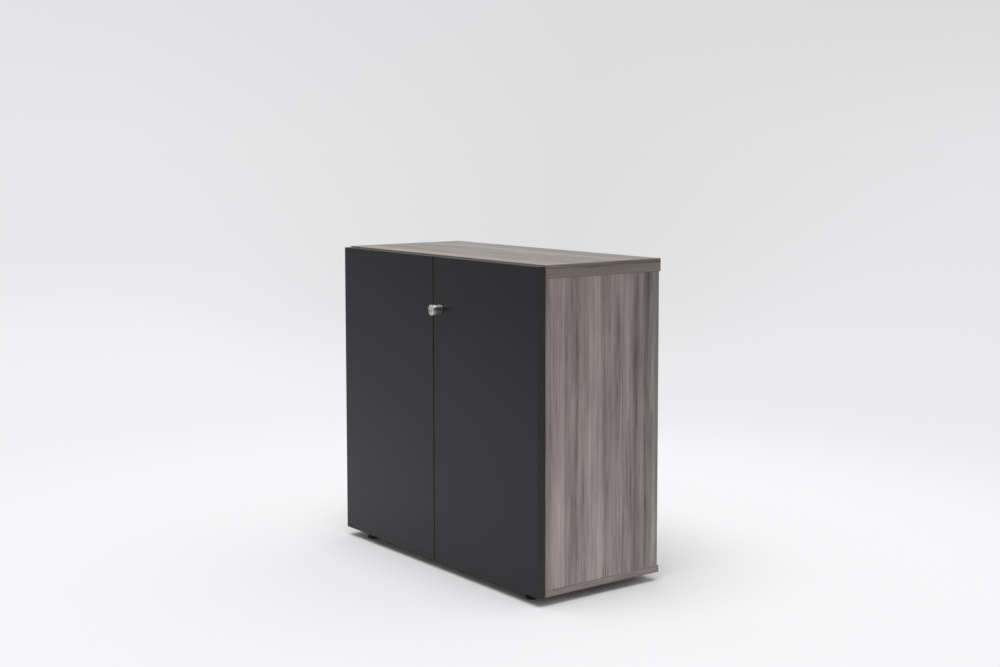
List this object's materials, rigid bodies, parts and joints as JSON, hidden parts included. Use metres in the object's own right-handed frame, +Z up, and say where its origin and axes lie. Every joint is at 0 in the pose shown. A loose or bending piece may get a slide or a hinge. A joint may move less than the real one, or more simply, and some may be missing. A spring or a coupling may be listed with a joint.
{
  "type": "office credenza",
  "caption": "Low two-door office cupboard with a thick wood-decor top and sides, dark graphite doors, a round knob lock, a shelf and levelling feet.",
  "frame": {"origin": "on the floor at the middle of the footprint, knob included", "axes": "+X to the right seen from the front, +Y to the rear, +Z up"},
  "size_m": [0.8, 0.382, 0.752],
  "materials": {
    "decor_board": "matt grey-brown wood-decor melamine board",
    "graphite_board": "matt graphite melamine board",
    "satin_nickel": "satin nickel",
    "hinge_steel": "nickel-plated pressed steel",
    "zinc": "bright zinc",
    "black_plastic": "black moulded plastic",
    "clear_rubber": "soft translucent dot",
    "beech": "fluted beech"
  },
  "bodies": {
    "root": {"top_panel": "decor_board", "top_edge_bands": "decor_board", "bottom_panel": "decor_board", "bottom_edge_bands": "decor_board", "left_side_panel": "decor_board", "right_side_panel": "decor_board", "side_edge_bands": "decor_board", "back_panel": "decor_board", "shelf": "decor_board", "shelf_edge_band": "decor_board", "dowels": "beech", "cam_bolts": "zinc", "cam_housings": "zinc", "shelf_pins": "zinc", "door_bumpers": "clear_rubber", "left_upper_hinge_plate": "hinge_steel", "left_upper_hinge_arm": "hinge_steel", "left_lower_hinge_plate": "hinge_steel", "left_lower_hinge_arm": "hinge_steel", "right_upper_hinge_plate": "hinge_steel", "right_upper_hinge_arm": "hinge_steel", "right_lower_hinge_plate": "hinge_steel", "right_lower_hinge_arm": "hinge_steel", "hinge_plate_screws": "hinge_steel", "upper_keeper": "hinge_steel", "lower_keeper": "hinge_steel", "keeper_screws": "hinge_steel", "foot_sockets": "black_plastic"},
    "left_door_leaf": {"left_door": "graphite_board", "left_door_edge_bands": "graphite_board", "left_upper_hinge_cup": "hinge_steel", "left_lower_hinge_cup": "hinge_steel", "left_hinge_pins": "hinge_steel", "left_cup_screws": "hinge_steel"},
    "right_door_leaf": {"right_door": "graphite_board", "right_door_edge_bands": "graphite_board", "right_upper_hinge_cup": "hinge_steel", "right_lower_hinge_cup": "hinge_steel", "right_hinge_pins": "hinge_steel", "right_cup_screws": "hinge_steel", "lock_housing": "black_plastic", "lock_collar": "satin_nickel", "rod_guides": "black_plastic", "lock_screws": "hinge_steel"},
    "lock_turn": {"lock_knob": "satin_nickel", "key_cylinder": "satin_nickel", "lock_spindle": "zinc"},
    "lock_bar": {"lock_rod": "hinge_steel", "lock_hooks": "hinge_steel"},
    "leveller_front_left": {"foot_front_left": "black_plastic"},
    "leveller_front_right": {"foot_front_right": "black_plastic"},
    "leveller_rear_left": {"foot_rear_left": "black_plastic"},
    "leveller_rear_right": {"foot_rear_right": "black_plastic"}
  },
  "joints": [
    {"name": "left_door_hinge", "type": "hinge", "parent": "root", "child": "left_door_leaf", "pos_m": [-0.392, -0.1582, 0.379], "axis": [0, 0, -1], "range_deg": [0, 95]},
    {"name": "right_door_hinge", "type": "hinge", "parent": "root", "child": "right_door_leaf", "pos_m": [0.392, -0.1582, 0.379], "axis": [0, 0, 1], "range_deg": [0, 95]},
    {"name": "lock_knob_turn", "type": "hinge", "parent": "right_door_leaf", "child": "lock_turn", "pos_m": [0.03, -0.165, 0.626], "axis": [0, 1, 0], "range_deg": [0, 90]},
    {"name": "lock_bar_turn", "type": "hinge", "parent": "right_door_leaf", "child": "lock_bar", "pos_m": [0.03, -0.137, 0.626], "axis": [0, 0, 1], "range_deg": [0, 90]},
    {"name": "leveller_front_left_travel", "type": "slide", "parent": "root", "child": "leveller_front_left", "axis": [0, 0, -1], "range_m": [0, 0.012]},
    {"name": "leveller_front_right_travel", "type": "slide", "parent": "root", "child": "leveller_front_right", "axis": [0, 0, -1], "range_m": [0, 0.012]},
    {"name": "leveller_rear_left_travel", "type": "slide", "parent": "root", "child": "leveller_rear_left", "axis": [0, 0, -1], "range_m": [0, 0.012]},
    {"name": "leveller_rear_right_travel", "type": "slide", "parent": "root", "child": "leveller_rear_right", "axis": [0, 0, -1], "range_m": [0, 0.012]}
  ],
  "couplings": [
    {"joint": "lock_bar_turn", "follows": "lock_knob_turn", "ratio": 1}
  ]
}
